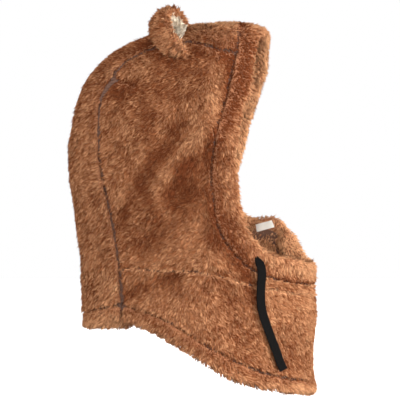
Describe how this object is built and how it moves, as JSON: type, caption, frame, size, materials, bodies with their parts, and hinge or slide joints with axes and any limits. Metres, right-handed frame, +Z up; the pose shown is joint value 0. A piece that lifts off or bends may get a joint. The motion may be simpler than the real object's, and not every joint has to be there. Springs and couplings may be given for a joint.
{
  "type": "plush hood with ears",
  "caption": "Plush pull-on hood with a drawcord casing round the face, a flared neck bib with turned hems, and cupped animal ears on the crown.",
  "frame": {"origin": "inside of the crown, in the middle, where a head carries the hood", "axes": "+Z up, -Y the way the face looks, +X towards the wearer's left"},
  "size_m": [0.1762, 0.2676, 0.4129],
  "materials": {
    "brown_plush": "deep brown plush pile with a soft lay",
    "cream_plush": "short cream plush pile",
    "black_elastic": "flat woven elastic, matt",
    "label_weave": "smooth off-white woven tape, bare"
  },
  "bodies": {
    "root": {"centre_panel": "brown_plush", "side_panel_right": "brown_plush", "side_panel_left": "brown_plush", "face_casing": "brown_plush", "neck_bib": "brown_plush", "bib_hem": "brown_plush", "nape_hem": "brown_plush", "ear_right": "brown_plush", "ear_left": "brown_plush", "ear_lining_right": "cream_plush", "ear_lining_left": "cream_plush", "drawcord_right": "black_elastic", "drawcord_left": "black_elastic", "label": "label_weave"}
  },
  "joints": []
}
